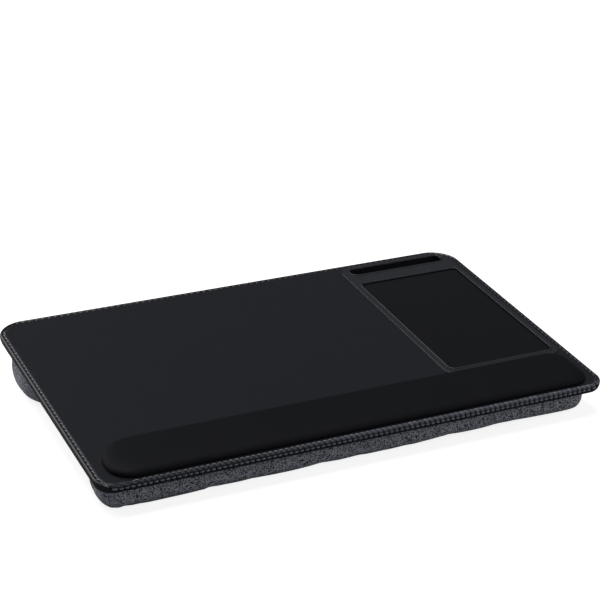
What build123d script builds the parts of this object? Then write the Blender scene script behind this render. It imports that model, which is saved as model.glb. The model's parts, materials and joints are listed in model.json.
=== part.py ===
# Lap tray with a cushion base: a leather-covered board that carries a wrist rest along its front and a
# moulded insert with a mouse pad and an upright slot, on a low front cushion and a high rear cushion.
# The frame is +X to the right, +Y to the back, +Z up, with the resting surface at z = 0.

import os
from math import cos, radians, sin

from build123d import *

os.makedirs("parts", exist_ok=True)

# Board: the middle of its thickness stands over the origin, and its back edge is raised
tray_width = 600
tray_depth = 377
tray_front_radius = 20
tray_back_radius = 33
tray_tilt = 4.5
tray_height = 46.8

# Layers of the board, from the deck down
leather_thickness = 1.0
foam_thickness = 2.0
core_thickness = 6.7
hem_thickness = 1.8
roll_radius = 2.4
lip_step = 0.8
seam_gap = 0.2
seam_drop = 7.3
stitch_inset = 4.8
stitch_groove_width = 1.2
stitch_groove_depth = 0.3

# Moulded insert and what it holds
side_strip = 9
back_strip = 7
rail_left = 9
rail_right = 8
rail_front = 9
rail_back = 8
pad_width = 133
pad_depth = 231
pad_corner_radius = 6
bridge_depth = 24.5
slot_end_margin = 11
slot_width = 17.5
frame_back_right_radius = 29
frame_back_left_radius = 18
frame_front_radius = 10
flange_overlap = 3
flange_height = 1.4
flange_round = 0.9
recess_floor_thickness = 1.5
bead_width = 1.8
bead_height = 0.4
bead_round = 0.15
bead_margin = 0.6
trough_wall = 1.6
trough_floor = 1.2
slot_chamfer = 0.8
pocket_count = 6
pocket_rib = 1.6
pocket_skin = 1.7
pad_base_thickness = 1.0
pad_cloth_thickness = 0.4

# Screws that pull the insert down on the board
screw_radius = 1.3
screw_head_radius = 2.8
screw_head_height = 1.6
screw_head_bevel = 0.6
screw_skin = 1.2
screw_rows = 3

# Wrist rest
wrist_end_left = 17
wrist_end_right = 14
wrist_frame_gap = 1
wrist_depth = 70
wrist_height = 9
wrist_front_left_radius = 27
wrist_back_left_radius = 41
wrist_right_radius = 22
wrist_cover_thickness = 0.8

# Cushions: size at the widest, and how far the sides draw in above and below it
cushion_cover_thickness = 1.0
flat_depth = 0.5
rear_side_inset = 8.5
rear_back_inset = 4
rear_depth = 114
rear_corner_radius = 46
rear_draw = 15
front_side_inset = 9.5
front_edge_inset = 10.5
front_depth = 75
front_corner_radius = 24
front_draw = 5

# Backing panel, the thin padded panel between the cushions, and the staples
backing_thickness = 1.5
backing_inset = 11.5
centre_panel_height = 6
centre_panel_inset = 28
centre_panel_radius = 12
centre_panel_gap = 2
centre_panel_round = 3.5
centre_cover_thickness = 1.0
staple_crown = 10
staple_wire = 0.6
staple_width = 1.0
staple_leg = 5
staple_bend = 0.9
long_row_staples = 8
side_row_staples = 2
side_row_pitch = 60

# Fits
fit_gap = 0.1
loose_gap = 0.3
overrun = 5

# Levels along the normal of the board, measured from the middle of its thickness
board_thickness = 2 * leather_thickness + foam_thickness + core_thickness
deck_level = board_thickness / 2
foam_top = deck_level - leather_thickness
core_top = foam_top - foam_thickness
core_bottom = core_top - core_thickness
base_level = core_bottom - leather_thickness
seam_level = deck_level - seam_drop
backing_level = base_level - backing_thickness
rim_level = deck_level + flange_height
recess_level = core_top + recess_floor_thickness
core_inset = max(hem_thickness, lip_step + leather_thickness) + fit_gap

# Places on the board
frame_width = rail_left + pad_width + rail_right
frame_depth = rail_front + pad_depth + bridge_depth + slot_width + rail_back
slot_length = frame_width - 2 * slot_end_margin
frame_right = tray_width / 2 - side_strip
frame_back = tray_depth / 2 - back_strip
frame_left = frame_right - frame_width
frame_front = frame_back - frame_depth
pad_centre = (frame_left + rail_left + pad_width / 2, frame_front + rail_front + pad_depth / 2)
slot_centre = (frame_left + frame_width / 2, frame_back - rail_back - slot_width / 2)
bridge_middle = frame_back - rail_back - slot_width - bridge_depth / 2
body_inset = flange_overlap + fit_gap

tray_plane = Plane(origin=(0, 0, tray_height)).rotated((tray_tilt, 0, 0))
tray_axis = Axis(tray_plane.origin, tray_plane.z_dir)


def at(level):
    """Plane of the board at a level along its normal."""
    return tray_plane.offset(level)


def top_edges(part):
    """Edges of the face that lies highest along the normal of the board."""
    return part.faces().sort_by(tray_axis)[-1].edges()


def bottom_edges(part):
    """Edges of the face that lies lowest along the normal of the board."""
    return part.faces().sort_by(tray_axis)[0].edges()


# Outlines that several pieces share, drawn flat
with BuildSketch() as tray_outline:
    Rectangle(tray_width, tray_depth)
    fillet(tray_outline.vertices().group_by(Axis.Y)[0], tray_front_radius)
    fillet(tray_outline.vertices().group_by(Axis.Y)[-1], tray_back_radius)

with BuildSketch() as frame_outline:
    with Locations((frame_left + frame_width / 2, frame_front + frame_depth / 2)):
        Rectangle(frame_width, frame_depth)
    front_corners = frame_outline.vertices().group_by(Axis.Y)[0]
    fillet(front_corners, frame_front_radius)
    back_corners = frame_outline.vertices().group_by(Axis.Y)[-1].sort_by(Axis.X)
    fillet(back_corners[-1], frame_back_right_radius)
    back_corners = frame_outline.vertices().group_by(Axis.Y)[-1].sort_by(Axis.X)
    fillet(back_corners[0], frame_back_left_radius)

with BuildSketch() as pad_outline:
    with Locations(pad_centre):
        RectangleRounded(pad_width, pad_depth, pad_corner_radius)

with BuildSketch() as slot_outline:
    with Locations(slot_centre):
        SlotOverall(slot_length, slot_width)


# Top cover: leather over the deck, rolled down over the edge and folded to a double hem. A shallow
# groove marks the row of stitches, and the moulded insert sits in a window.
with BuildPart() as top_cover:
    with BuildSketch(at(seam_level)):
        add(tray_outline.sketch)
    extrude(amount=deck_level - seam_level)
    fillet(top_edges(top_cover), roll_radius)
    with BuildSketch(at(seam_level)):
        offset(tray_outline.sketch, amount=-hem_thickness, mode=Mode.ADD)
    extrude(amount=foam_top - seam_level, mode=Mode.SUBTRACT)
    with BuildSketch(at(deck_level - stitch_groove_depth)):
        offset(tray_outline.sketch, amount=-stitch_inset + stitch_groove_width / 2, mode=Mode.ADD)
        offset(tray_outline.sketch, amount=-stitch_inset - stitch_groove_width / 2, mode=Mode.SUBTRACT)
    extrude(amount=overrun, mode=Mode.SUBTRACT)
    with BuildSketch(at(foam_top)):
        offset(frame_outline.sketch, amount=-flange_overlap, mode=Mode.ADD)
    extrude(amount=overrun, both=True, mode=Mode.SUBTRACT)
top_cover.part.label = "top_cover"
export_step(top_cover.part, "parts/top_cover.step")


# Foam underlay: thin sheet between the board and the leather
with BuildPart() as foam_underlay:
    with BuildSketch(at(core_top)):
        offset(tray_outline.sketch, amount=-core_inset, mode=Mode.ADD)
        offset(frame_outline.sketch, amount=-flange_overlap, mode=Mode.SUBTRACT)
    extrude(amount=foam_thickness)
foam_underlay.part.label = "foam_underlay"
export_step(foam_underlay.part, "parts/foam_underlay.step")


# One staple at the origin: its crown lies under the backing, and its legs point up into the board
with BuildPart() as staple:
    with BuildSketch(Plane.XZ):
        with Locations((0, (staple_leg - staple_wire) / 2)):
            Rectangle(staple_crown, staple_leg + staple_wire)
        with Locations((0, staple_leg / 2)):
            Rectangle(staple_crown - 2 * staple_wire, staple_leg, mode=Mode.SUBTRACT)
    extrude(amount=staple_width / 2, both=True)
    fillet(staple.faces().sort_by(Axis.Z)[0].edges().filter_by(Axis.Y), staple_bend)

# Staple rows run along the front and back edge of the backing, clear of the trough of the slot, and
# along its sides at the middle
rear_seam = tray_depth / 2 - rear_back_inset - rear_draw
front_seam = tray_depth / 2 - front_edge_inset - front_draw
backing_edge = tray_depth / 2 - backing_inset
backing_side = tray_width / 2 - backing_inset
panel_side = tray_width / 2 - centre_panel_inset
row_span = tray_width - 2 * tray_back_radius - 2 * backing_inset
row_pitch = row_span / (long_row_staples - 1)
front_row = -(backing_edge + front_seam) / 2
back_row = (backing_edge + rear_seam) / 2
side_row = (backing_side + panel_side) / 2
panel_back = tray_depth / 2 - rear_back_inset - rear_depth - centre_panel_gap
panel_front = -tray_depth / 2 + front_edge_inset + front_depth + centre_panel_gap
panel_middle = (panel_back + panel_front) / 2
trough_reach = slot_length / 2 + trough_wall + staple_crown
staple_locations = []
for index in range(long_row_staples):
    along = row_pitch * index - row_span / 2
    staple_locations.append(Location((along, front_row, 0)))
    if abs(along - slot_centre[0]) > trough_reach:
        staple_locations.append(Location((along, back_row, 0)))
for index in range(side_row_staples):
    along = panel_middle + side_row_pitch * (index - (side_row_staples - 1) / 2)
    staple_locations += [Location((side, along, 0), (0, 0, 90)) for side in (-side_row, side_row)]

with BuildPart(at(backing_level)) as backing_staples:
    with Locations(*staple_locations):
        add(staple.part)
backing_staples.part.label = "backing_staples"
export_step(backing_staples.part, "parts/backing_staples.step")


# Screws: pan heads sunk in the underside of the board, driven up into the rails of the insert
left_rail_middle = frame_left + (body_inset + rail_left) / 2
right_rail_middle = frame_right - (body_inset + rail_right) / 2
screw_front = frame_front + rail_front + pad_corner_radius
screw_pitch = (bridge_middle - screw_front) / (screw_rows - 1)
screw_places = []
for row in range(screw_rows):
    for column in (left_rail_middle, right_rail_middle):
        screw_places.append((column, screw_front + row * screw_pitch))
screw_seat = core_bottom + loose_gap + screw_head_height
screw_tip = rim_level - screw_skin

with BuildPart() as frame_screws:
    with BuildSketch(at(core_bottom + loose_gap)):
        with Locations(*screw_places):
            Circle(screw_head_radius)
    extrude(amount=screw_head_height)
    chamfer(frame_screws.faces().group_by(tray_axis)[0].edges(), screw_head_bevel)
    with BuildSketch(at(screw_seat)):
        with Locations(*screw_places):
            Circle(screw_radius)
    extrude(amount=screw_tip - screw_seat)
frame_screws.part.label = "frame_screws"
export_step(frame_screws.part, "parts/frame_screws.step")


# Board core: fibreboard with a slot for the trough of the insert, stepped screw holes and staple holes
with BuildPart() as board_core:
    with BuildSketch(at(core_bottom)):
        offset(tray_outline.sketch, amount=-core_inset, mode=Mode.ADD)
        offset(slot_outline.sketch, amount=trough_wall + fit_gap, mode=Mode.SUBTRACT)
        with Locations(*screw_places):
            Circle(screw_radius + fit_gap, mode=Mode.SUBTRACT)
    extrude(amount=core_thickness)
    with BuildSketch(at(core_bottom)):
        with Locations(*screw_places):
            Circle(screw_head_radius + loose_gap)
    extrude(amount=screw_seat - core_bottom, mode=Mode.SUBTRACT)
    with Locations(*[at(backing_level).location * place for place in staple_locations]):
        add(staple.part, mode=Mode.SUBTRACT)
board_core.part.label = "board_core"
export_step(board_core.part, "parts/board_core.step")


# Bottom cover: leather under the board, its rim turned up inside the line of the hem above
with BuildPart() as bottom_cover:
    with BuildSketch(at(base_level)):
        offset(tray_outline.sketch, amount=-lip_step, mode=Mode.ADD)
    extrude(amount=seam_level - seam_gap - base_level)
    fillet(bottom_edges(bottom_cover), roll_radius)
    with BuildSketch(at(core_bottom)):
        offset(tray_outline.sketch, amount=-lip_step - leather_thickness, mode=Mode.ADD)
    extrude(amount=overrun, mode=Mode.SUBTRACT)
    with Locations(*[at(backing_level).location * place for place in staple_locations]):
        add(staple.part, mode=Mode.SUBTRACT)
bottom_cover.part.label = "bottom_cover"
export_step(bottom_cover.part, "parts/bottom_cover.step")


# Moulded insert: a flange laps over the leather, the body goes down to the board, and the trough of
# the slot goes on through it. The bridge is cored out from below between ribs.
pocket_pitch = slot_length / pocket_count
pocket_depth = bridge_depth - 2 * trough_wall - pocket_rib
with BuildPart() as device_frame:
    with BuildSketch(at(core_top)):
        offset(frame_outline.sketch, amount=-body_inset, mode=Mode.ADD)
    extrude(amount=deck_level - core_top)
    with BuildSketch(at(deck_level)):
        add(frame_outline.sketch)
    extrude(amount=flange_height)
    fillet(top_edges(device_frame), flange_round)
    with BuildSketch(at(rim_level)):
        offset(pad_outline.sketch, amount=bead_margin + bead_width, mode=Mode.ADD)
        offset(pad_outline.sketch, amount=bead_margin, mode=Mode.SUBTRACT)
    extrude(amount=bead_height)
    fillet(top_edges(device_frame), bead_round)
    with BuildSketch(at(core_bottom)):
        offset(slot_outline.sketch, amount=trough_wall, mode=Mode.ADD)
    extrude(amount=core_thickness)
    with BuildSketch(at(recess_level)):
        add(pad_outline.sketch)
    extrude(amount=overrun, mode=Mode.SUBTRACT)
    with BuildSketch(at(core_bottom + trough_floor)):
        add(slot_outline.sketch)
    extrude(amount=rim_level - core_bottom, mode=Mode.SUBTRACT)
    slot_mouth = device_frame.faces().filter_by(tray_plane).group_by(tray_axis)[-2][0].inner_wires()
    chamfer(slot_mouth.sort_by(Axis.Y)[-1].edges(), slot_chamfer)
    with BuildSketch(at(core_top)):
        with Locations((slot_centre[0], bridge_middle)):
            with GridLocations(pocket_pitch, 0, pocket_count, 1):
                Rectangle(pocket_pitch - pocket_rib, pocket_depth)
    extrude(amount=rim_level - pocket_skin - core_top, mode=Mode.SUBTRACT)
    with BuildSketch(at(core_top)):
        with Locations(*screw_places):
            Circle(screw_radius)
    extrude(amount=screw_tip - core_top, mode=Mode.SUBTRACT)
device_frame.part.label = "device_frame"
export_step(device_frame.part, "parts/device_frame.step")


# Mouse pad: a rubber sheet laid in the recess, with knit cloth bonded on it
with BuildPart() as mouse_pad_base:
    with BuildSketch(at(recess_level)):
        offset(pad_outline.sketch, amount=-loose_gap, mode=Mode.ADD)
    extrude(amount=pad_base_thickness)
mouse_pad_base.part.label = "mouse_pad_base"
export_step(mouse_pad_base.part, "parts/mouse_pad_base.step")

with BuildPart() as mouse_pad_cloth:
    with BuildSketch(at(recess_level + pad_base_thickness)):
        offset(pad_outline.sketch, amount=-loose_gap, mode=Mode.ADD)
    extrude(amount=pad_cloth_thickness)
mouse_pad_cloth.part.label = "mouse_pad_cloth"
export_step(mouse_pad_cloth.part, "parts/mouse_pad_cloth.step")


def rounded_section(plane, box, inset, radii):
    """Rounded rectangle inside a box (left, right, front, back), drawn in by an inset on every side.

    The radii are those of the front left, front right, back right and back left corner. They shrink
    with its depth, so that every section has the same lines and arcs.
    """
    left, right = box[0] + inset, box[1] - inset
    front, back = box[2] + inset, box[3] - inset
    depth_share = (back - front) / (box[3] - box[2])
    with BuildSketch(plane) as section:
        with Locations(((left + right) / 2, (front + back) / 2)):
            Rectangle(right - left, back - front)
        corners = ((left, front), (right, front), (right, back), (left, back))
        for corner, radius in zip(corners, radii):
            fillet(section.vertices().sort_by_distance(corner)[0], radius * depth_share)
    return section.sketch


# Wrist rest: a low crowned pad whose sections follow a flattened ellipse
wrist_box = (
    -tray_width / 2 + wrist_end_left,
    tray_width / 2 - wrist_end_right,
    frame_front - wrist_frame_gap - wrist_depth,
    frame_front - wrist_frame_gap,
)
wrist_radii = (wrist_front_left_radius, wrist_right_radius, wrist_right_radius, wrist_back_left_radius)
wrist_angles = (0, 14, 30, 46, 62, 74)
wrist_shape_share = 0.8


def wrist_form(shrink):
    """Crowned pad of the wrist rest, smaller by shrink at its sides and its top."""
    box = (wrist_box[0] + shrink, wrist_box[1] - shrink, wrist_box[2] + shrink, wrist_box[3] - shrink)
    half_depth = (box[3] - box[2]) / 2
    radii = [radius - shrink for radius in wrist_radii]
    with BuildPart() as form:
        for angle in wrist_angles:
            width_share = cos(radians(angle)) ** wrist_shape_share
            height_share = sin(radians(angle)) ** wrist_shape_share
            plane = at(deck_level + (wrist_height - shrink) * height_share)
            inset = half_depth * (1 - width_share)
            add(rounded_section(plane, box, inset, radii))
        loft()
    return form.part


with BuildPart() as wrist_rest_cover:
    add(wrist_form(0))
    add(wrist_form(wrist_cover_thickness), mode=Mode.SUBTRACT)
wrist_rest_cover.part.label = "wrist_rest_cover"
export_step(wrist_rest_cover.part, "parts/wrist_rest_cover.step")

with BuildPart() as wrist_rest_foam:
    add(wrist_form(wrist_cover_thickness + loose_gap))
wrist_rest_foam.part.label = "wrist_rest_foam"
export_step(wrist_rest_foam.part, "parts/wrist_rest_foam.step")


# Cushion backing: the panel that both cushions hang from, stapled under the board
with BuildPart() as cushion_backing:
    with BuildSketch(at(backing_level)):
        offset(tray_outline.sketch, amount=-backing_inset, mode=Mode.ADD)
    extrude(amount=backing_thickness)
    with Locations(*[at(backing_level).location * place for place in staple_locations]):
        add(staple.part, mode=Mode.SUBTRACT)
cushion_backing.part.label = "cushion_backing"
export_step(cushion_backing.part, "parts/cushion_backing.step")


# Cushions: each hangs from the tilted backing and rests on a level surface, so its sections turn from
# one plane to the other. The sides bulge out as half an ellipse between the two seams.
section_angles = (-72, -48, -24, 0, 24, 48, 72)
rear_box = (
    -tray_width / 2 + rear_side_inset,
    tray_width / 2 - rear_side_inset,
    tray_depth / 2 - rear_back_inset - rear_depth,
    tray_depth / 2 - rear_back_inset,
)
front_box = (
    -tray_width / 2 + front_side_inset,
    tray_width / 2 - front_side_inset,
    -tray_depth / 2 + front_edge_inset,
    -tray_depth / 2 + front_edge_inset + front_depth,
)


def cushion_form(box, radius, draw, shrink):
    """Cushion between the backing and the resting surface, smaller by shrink at its sides and below."""
    box = (box[0] + shrink, box[1] - shrink, box[2] + shrink, box[3] - shrink)
    upper = at(backing_level).origin
    lower = Vector(0, 0, shrink - flat_depth)
    last = radians(section_angles[-1])
    with BuildPart() as form:
        for angle in section_angles:
            down_share = (1 + sin(radians(angle)) / sin(last)) / 2
            origin = upper * (1 - down_share) + lower * down_share
            plane = Plane(origin=origin).rotated((tray_tilt * (1 - down_share), 0, 0))
            inset = draw * (1 - cos(radians(angle))) / (1 - cos(last))
            add(rounded_section(plane, box, inset, [radius - shrink] * 4))
        loft()
        split(bisect_by=Plane(origin=(0, 0, shrink)), keep=Keep.TOP)
    return form.part


with BuildPart() as rear_cushion_cover:
    add(cushion_form(rear_box, rear_corner_radius, rear_draw, 0))
    add(cushion_form(rear_box, rear_corner_radius, rear_draw, cushion_cover_thickness), mode=Mode.SUBTRACT)
rear_cushion_cover.part.label = "rear_cushion_cover"
export_step(rear_cushion_cover.part, "parts/rear_cushion_cover.step")

with BuildPart() as rear_cushion_fill:
    add(cushion_form(rear_box, rear_corner_radius, rear_draw, cushion_cover_thickness + loose_gap))
rear_cushion_fill.part.label = "rear_cushion_fill"
export_step(rear_cushion_fill.part, "parts/rear_cushion_fill.step")

with BuildPart() as front_cushion_cover:
    add(cushion_form(front_box, front_corner_radius, front_draw, 0))
    add(cushion_form(front_box, front_corner_radius, front_draw, cushion_cover_thickness), mode=Mode.SUBTRACT)
front_cushion_cover.part.label = "front_cushion_cover"
export_step(front_cushion_cover.part, "parts/front_cushion_cover.step")

with BuildPart() as front_cushion_fill:
    add(cushion_form(front_box, front_corner_radius, front_draw, cushion_cover_thickness + loose_gap))
front_cushion_fill.part.label = "front_cushion_fill"
export_step(front_cushion_fill.part, "parts/front_cushion_fill.step")


# Centre panel: a thin padded panel under the backing, between the two cushions
def panel_form(shrink):
    """Padded panel between the cushions, smaller by shrink at its sides and below."""
    width = 2 * (panel_side - shrink)
    depth = panel_back - panel_front - 2 * shrink
    with BuildPart() as form:
        with BuildSketch(at(backing_level - centre_panel_height + shrink)):
            with Locations((0, panel_middle)):
                RectangleRounded(width, depth, centre_panel_radius - shrink)
        extrude(amount=centre_panel_height - shrink)
        fillet(bottom_edges(form), centre_panel_round)
    return form.part


with BuildPart() as centre_panel_cover:
    add(panel_form(0))
    add(panel_form(centre_cover_thickness), mode=Mode.SUBTRACT)
centre_panel_cover.part.label = "centre_panel_cover"
export_step(centre_panel_cover.part, "parts/centre_panel_cover.step")

with BuildPart() as centre_panel_wadding:
    add(panel_form(centre_cover_thickness + loose_gap))
centre_panel_wadding.part.label = "centre_panel_wadding"
export_step(centre_panel_wadding.part, "parts/centre_panel_wadding.step")
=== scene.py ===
import json
import math

import bmesh
import bpy
from mathutils import Matrix, Vector, noise


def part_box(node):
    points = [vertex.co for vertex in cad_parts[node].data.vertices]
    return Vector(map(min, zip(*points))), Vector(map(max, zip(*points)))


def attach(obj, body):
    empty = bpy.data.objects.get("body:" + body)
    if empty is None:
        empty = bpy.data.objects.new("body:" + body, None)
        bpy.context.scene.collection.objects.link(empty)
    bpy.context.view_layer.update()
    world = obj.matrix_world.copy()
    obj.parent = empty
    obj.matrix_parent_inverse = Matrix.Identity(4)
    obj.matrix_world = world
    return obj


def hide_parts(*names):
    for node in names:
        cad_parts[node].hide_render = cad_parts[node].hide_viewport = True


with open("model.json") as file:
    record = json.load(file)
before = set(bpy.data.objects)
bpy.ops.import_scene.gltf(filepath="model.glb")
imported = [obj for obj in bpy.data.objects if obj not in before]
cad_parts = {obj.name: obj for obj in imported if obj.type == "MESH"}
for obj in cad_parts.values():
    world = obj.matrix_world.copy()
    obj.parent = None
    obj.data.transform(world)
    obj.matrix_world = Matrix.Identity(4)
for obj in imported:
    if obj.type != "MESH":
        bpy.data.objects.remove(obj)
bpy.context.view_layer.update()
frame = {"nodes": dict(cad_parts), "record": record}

# Board: a sheet of sanded fibreboard that the covers are pulled over. It is the CAD piece, and the
# insert covers the one window it would show in. The mount on the deck gives the board's plane.
mm = 0.001
deck_level = 5.35 * mm
core_top = 2.35 * mm
deck_mount = next(m for m in frame["record"]["mounts"] if m["name"] == "laptop_deck")
deck_normal = Vector(deck_mount["axis"])
middle_height = (Vector(deck_mount["pos_m"]).dot(deck_normal) - deck_level) / deck_normal.z
tray_tilt = math.atan2(-deck_normal.y, deck_normal.z)
tray = Matrix.Translation((0, 0, middle_height)) @ Matrix.Rotation(tray_tilt, 4, "X")


def linear(hex_colour):
    """Linear RGBA values of an sRGB hex colour."""
    shares = [int(hex_colour[i:i + 2], 16) / 255 for i in (1, 3, 5)]
    return (*[s / 12.92 if s <= 0.04045 else ((s + 0.055) / 1.055) ** 2.4 for s in shares], 1)


def add_node(tree, kind, inputs, **settings):
    """Adds a node, with its settings and its inputs: a value is set, and a socket is linked."""
    node = tree.nodes.new(kind)
    for name, value in settings.items():
        setattr(node, name, value)
    for name, value in inputs.items():
        if isinstance(value, bpy.types.NodeSocket):
            tree.links.new(value, node.inputs[name])
        else:
            node.inputs[name].default_value = value
    return node


def start_material(name, **sockets):
    """New material, its tree, its shader and the Object coordinates for its patterns.

    Sockets of the shader are set by name, with _ for a space.
    """
    material = bpy.data.materials.new(name)
    material.use_nodes = True
    tree = material.node_tree
    shader = tree.nodes["Principled BSDF"]
    for socket, value in sockets.items():
        shader.inputs[socket.replace("_", " ")].default_value = value
    return material, tree, shader, add_node(tree, "ShaderNodeTexCoord", {}).outputs["Object"]


def mottle(tree, shader, place, size, detail, dark, light):
    """Colours a material between two tones in patches of a size, and gives the patches' share."""
    patches = add_node(tree, "ShaderNodeTexNoise", {"Vector": place, "Scale": 1 / size, "Detail": detail})
    tones = {"Factor": patches.outputs["Fac"], 6: linear(dark), 7: linear(light)}
    tone = add_node(tree, "ShaderNodeMix", tones, data_type="RGBA")
    tree.links.new(tone.outputs[2], shader.inputs["Base Color"])
    return patches.outputs["Fac"]


def wear(piece, material):
    """Gives a piece, or a CAD node, one material for its whole surface."""
    piece.data.materials.clear()
    piece.data.materials.append(material)


# Sanded fibreboard: pale brown, with short pressed fibres and a dull face
fibre_length = 3 * mm
fibreboard, tree, shader, place = start_material("sanded_fibreboard", Roughness=0.85)
mottle(tree, shader, place, fibre_length, 6.0, "#8a6a48", "#b0906a")
wear(frame["nodes"]["board_core"], fibreboard)


# Deck leather: one piece of grained PU leather, rolled down over the edge of the board, folded to a
# hem and sewn through. Along the sides and the back the row of stitches runs on top, close to the
# edge. Along the front it drops to the edge itself, and the leather is gathered over it.
half_width = 300.9 * mm
half_depth = 189.3 * mm
front_radius, back_radius = 20.8 * mm, 33.8 * mm
leather = 1 * mm
hem = 2.6 * mm
seam_level = -1.95 * mm
side_roll, front_roll = (2.4 * mm, 2.4 * mm), (3.2 * mm, 4.2 * mm)
side_row, front_row = 11.5 * mm, 2.5 * mm
side_tuck = 1.2 * mm
side_strip, front_strip = 10 * mm, 8.5 * mm
groove_depth, groove_width = 0.45 * mm, 1.5 * mm
bead_rise, bead_width, bead_place = 0.3 * mm, 1.3 * mm, 2.4 * mm
side_hole, front_hole = 0.45 * mm, 1.5 * mm
hole_width = 1.3 * mm
hem_ease = 0.6 * mm
sharp_angle = math.radians(40)
# The puckers: how high and how far up they go, and how far above the row they start. Along the front
# they change from left to right in the zones below, given in x: they stand more upright, start lower,
# get a stronger painted highlight and grow together at the top.
side_pucker, front_pucker = 0.2 * mm, 1 * mm
side_pucker_reach, front_pucker_reach = 4.5 * mm, 7.6 * mm
side_fade, front_fade = 0.5, 0.8
side_foot, left_foot, right_foot = -1 * mm, 1 * mm, -0.8 * mm
foot_rise, highlight_rise = 2 * mm, 2.3 * mm
corner_zone, highlight_zone = (-295 * mm, -250 * mm), (-250 * mm, 50 * mm)
tight_zone, foot_zone = (-200 * mm, 50 * mm), (-100 * mm, 100 * mm)
join_levels = (1.5 * mm, 4.5 * mm)
side_lean, middle_lean, corner_lean, lean_spread = 0.5, 0.5, 3, 500 * mm
left_sharpness, right_sharpness, joined_sharpness = 1.1, 1, 0.35
right_relief, left_highlight = 0.75, 0.6
stitches = {"front": 90, "side": 41, "back": 68, "front corner": 4, "back corner": 6}
stitch_pitch = 7 * mm
steps_per_stitch = 10
wall_shares = (0, 0.14, 0.28, 0.42, 0.54, 0.66, 0.78, 0.9)
roll_turns = [math.radians(7.5 * turn) for turn in range(13)]
strip_shares = (0.08, 0.16, 0.24, 0.31, 0.38, 0.45, 0.52, 0.6, 0.7, 0.84, 1)


def mix(a, b, share):
    """Value between a and b."""
    return a + (b - a) * share


def smooth(low, high, value):
    """0 below low, 1 above high and an even curve between them."""
    share = min(1, max(0, (value - low) / (high - low)))
    return share * share * (3 - 2 * share)


def bell(distance, width):
    """Bell curve, 1 at no distance."""
    return math.exp(-((distance / width) ** 2))


def edge_stations():
    """Stations round the edge, counter-clockwise from the left end of the front edge.

    Each is its place on the outline, its inward direction, its share of the front edge's shape and
    its count of stitches so far. A side is a straight run and the corner after it.
    """
    corners = []
    for right, back in ((-1, -1), (1, -1), (1, 1), (-1, 1)):
        radius = front_radius if back < 0 else back_radius
        corners.append((Vector((right * (half_width - radius), back * (half_depth - radius))), radius))
    stations = []
    count = 0
    runs = ("front", "side", "back", "side")
    turns = ("front corner", "back corner", "back corner", "front corner")
    for side, (run, turn) in enumerate(zip(runs, turns)):
        heading = side * math.pi / 2
        outward = Vector((math.sin(heading), -math.cos(heading)))
        (start, start_radius), (end, end_radius) = corners[side], corners[(side + 1) % 4]
        ends = start + outward * start_radius, end + outward * end_radius
        for step in range(stitches[run] * steps_per_stitch):
            share = step / (stitches[run] * steps_per_stitch)
            place = ends[0].lerp(ends[1], share)
            stations.append((place, -outward, float(side == 0), count + share * stitches[run]))
        count += stitches[run]
        for step in range(stitches[turn] * steps_per_stitch):
            share = step / (stitches[turn] * steps_per_stitch)
            angle = heading + (share - 1) * math.pi / 2
            outward = Vector((math.cos(angle), math.sin(angle)))
            front = (1 - smooth(0, 0.8, share), 0, 0, smooth(0.2, 1, share))[side]
            stations.append((end + outward * end_radius, -outward, front, count + share * stitches[turn]))
        count += stitches[turn]
    return stations


def leather_level(inset, front):
    """Height of the smooth leather at an inset from the outline."""
    roll_in, roll_down = (mix(*ends, front) for ends in zip(side_roll, front_roll))
    from_top = max(0, 1 - inset / roll_in)
    return deck_level - roll_down * (1 - math.sqrt(1 - from_top ** 2))


def leather_section(front):
    """Section of the smooth leather, from its hem up the wall, over the roll and onto the flat deck.

    Each spot is its inset, its level, the two parts of the direction it faces in and its distance
    along the leather from the hem.
    """
    roll_in, roll_down = (mix(*ends, front) for ends in zip(side_roll, front_roll))
    wall_top = deck_level - roll_down
    tuck = side_tuck * (1 - front)
    spots = [(tuck * (1 - share) ** 2, mix(seam_level, wall_top, share), -1, 0) for share in wall_shares]
    for turn in roll_turns:
        across, up = math.cos(turn), math.sin(turn)
        facing = Vector((-across / roll_in, up / roll_down)).normalized()
        spots.append((roll_in * (1 - across), wall_top + roll_down * up, *facing))
    strip = mix(side_strip, front_strip, front)
    spots += [(mix(roll_in, strip, share), deck_level, 0, 1) for share in strip_shares]
    reach = 0
    section = [(*spots[0], reach)]
    for last, spot in zip(spots, spots[1:]):
        reach += math.hypot(spot[0] - last[0], spot[1] - last[1])
        section.append((*spot, reach))
    return section


def hole_share(off_row, count):
    """1 in the middle of a thread hole and 0 away from it."""
    return bell(off_row, hole_width) * bell((count - round(count)) * stitch_pitch, hole_width)


def ridge_foot(x):
    """How far above the row a ridge of the front starts: clear of it at the left, below at the right."""
    return mix(left_foot, right_foot, smooth(*foot_zone, x))


def pucker_share(off_row, front, count, x):
    """1 on the ridge of a pucker, 0 in its furrow and outside the gathered band."""
    lean = max(0, middle_lean - x / lean_spread) + corner_lean * (1 - smooth(*corner_zone, x))
    phase = count + mix(side_lean, lean, front) * off_row / stitch_pitch
    joined = mix(right_sharpness, joined_sharpness, smooth(*join_levels, off_row))
    sharpness = mix(left_sharpness, joined, smooth(*tight_zone, x))
    ridge = (0.5 - 0.5 * math.cos(2 * math.pi * phase)) ** sharpness
    uneven = 0.8 + 0.5 * noise.noise((count * 0.7, 3.1, 0))
    foot = mix(side_foot, ridge_foot(x), front)
    reach = mix(side_pucker_reach, front_pucker_reach, front)
    window = smooth(foot, foot + foot_rise, off_row)
    window *= 1 - smooth(mix(side_fade, front_fade, front), 1, off_row / reach)
    return uneven * ridge * window


def ridge_highlight(off_row, front, count, x):
    """Painted highlight on a front ridge: only above its foot, and weaker where the seam runs out left."""
    foot = ridge_foot(x)
    bent = smooth(foot, foot + highlight_rise, off_row) * mix(left_highlight, 1, smooth(*highlight_zone, x))
    return front * bent * pucker_share(off_row, front, count, x)


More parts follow.
